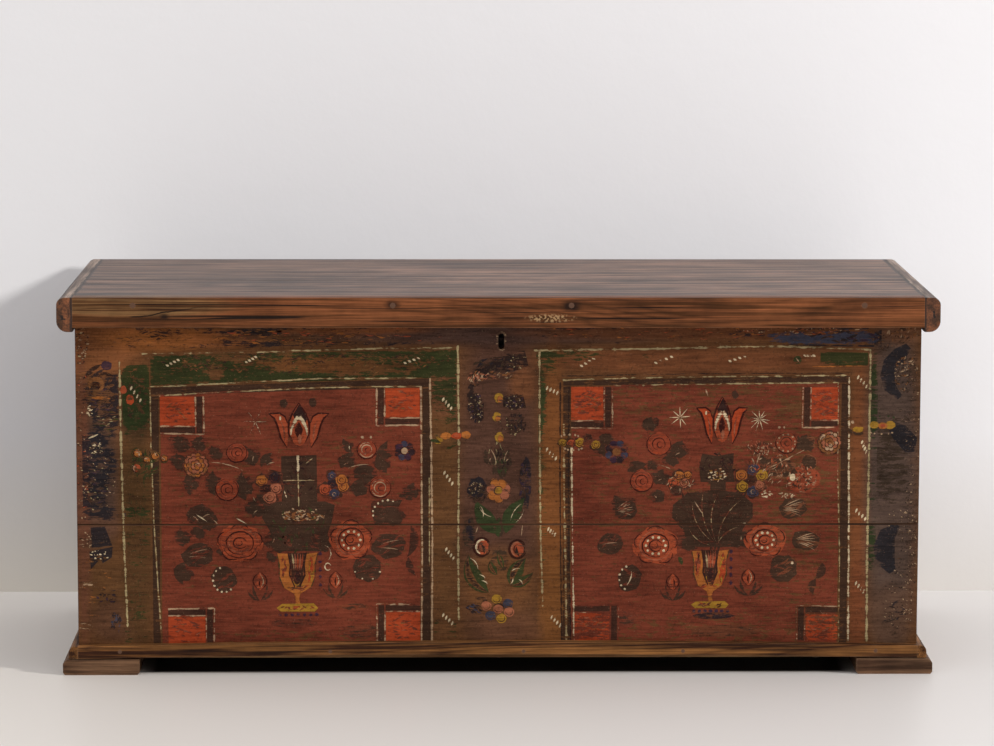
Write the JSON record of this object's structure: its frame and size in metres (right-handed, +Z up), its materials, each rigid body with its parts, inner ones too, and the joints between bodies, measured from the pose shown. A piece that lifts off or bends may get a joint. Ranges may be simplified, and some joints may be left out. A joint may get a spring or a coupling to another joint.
{
  "type": "dower chest",
  "caption": "Long dovetailed plank chest on two flat runners, with a hinged lid, end battens, strap hinges, an inside lock and a painted front.",
  "frame": {"origin": "on the floor, under the middle of the closed chest", "axes": "+X to the viewer's right along the front, +Y from the front to the back, +Z up"},
  "size_m": [1.455, 0.6212, 0.634],
  "materials": {
    "painted_front": "worn folk painting on softwood planks",
    "case_wood": "old stained softwood planks",
    "bottom_wood": "raw aged softwood",
    "lid_wood": "worn grey-brown softwood",
    "strip_wood": "worn varnished softwood",
    "batten_wood": "worn weathered softwood",
    "plinth_wood": "worn brown paint on softwood",
    "runner_wood": "raw aged softwood",
    "peg_wood": "hardwood peg, cut flush",
    "wrought_iron": "dark forged iron"
  },
  "bodies": {
    "case": {"front_board_upper": "painted_front", "front_board_lower": "painted_front", "back_board_upper": "case_wood", "back_board_lower": "case_wood", "left_side_board_upper": "case_wood", "left_side_board_lower": "case_wood", "right_side_board_upper": "case_wood", "right_side_board_lower": "case_wood", "bottom_board_front": "bottom_wood", "bottom_board_middle": "bottom_wood", "bottom_board_back": "bottom_wood", "plinth_front": "plinth_wood", "plinth_left": "plinth_wood", "plinth_right": "plinth_wood", "runner_left": "runner_wood", "runner_right": "runner_wood", "hinge_plate_left": "wrought_iron", "hinge_plate_right": "wrought_iron", "hinge_pin_left": "wrought_iron", "hinge_pin_right": "wrought_iron", "lock_plate": "wrought_iron", "lock_cover": "wrought_iron", "lock_key_post": "wrought_iron", "lock_bolt_guides": "wrought_iron", "lock_spring": "wrought_iron", "bottom_nails": "wrought_iron", "runner_nails": "wrought_iron", "plinth_pegs": "peg_wood", "hinge_plate_nails": "wrought_iron", "lock_nails": "wrought_iron"},
    "lid": {"lid_board_front": "lid_wood", "lid_board_back": "lid_wood", "lid_front_strip": "strip_wood", "lid_batten_left": "batten_wood", "lid_batten_right": "batten_wood", "hinge_strap_left": "wrought_iron", "hinge_strap_right": "wrought_iron", "lock_staple": "wrought_iron", "strip_pegs": "peg_wood", "batten_pegs": "peg_wood", "hinge_strap_nails": "wrought_iron", "staple_nails": "wrought_iron"},
    "lock_bolt": {"lock_bolt": "wrought_iron"}
  },
  "joints": [
    {"name": "lid_hinge", "type": "hinge", "parent": "case", "child": "lid", "pos_m": [0, 0.30505, 0.606], "axis": [-1, 0, 0], "range_deg": [0, 100]},
    {"name": "lock_bolt_slide", "type": "slide", "parent": "case", "child": "lock_bolt", "axis": [-1, 0, 0], "range_m": [0, 0.016]}
  ]
}
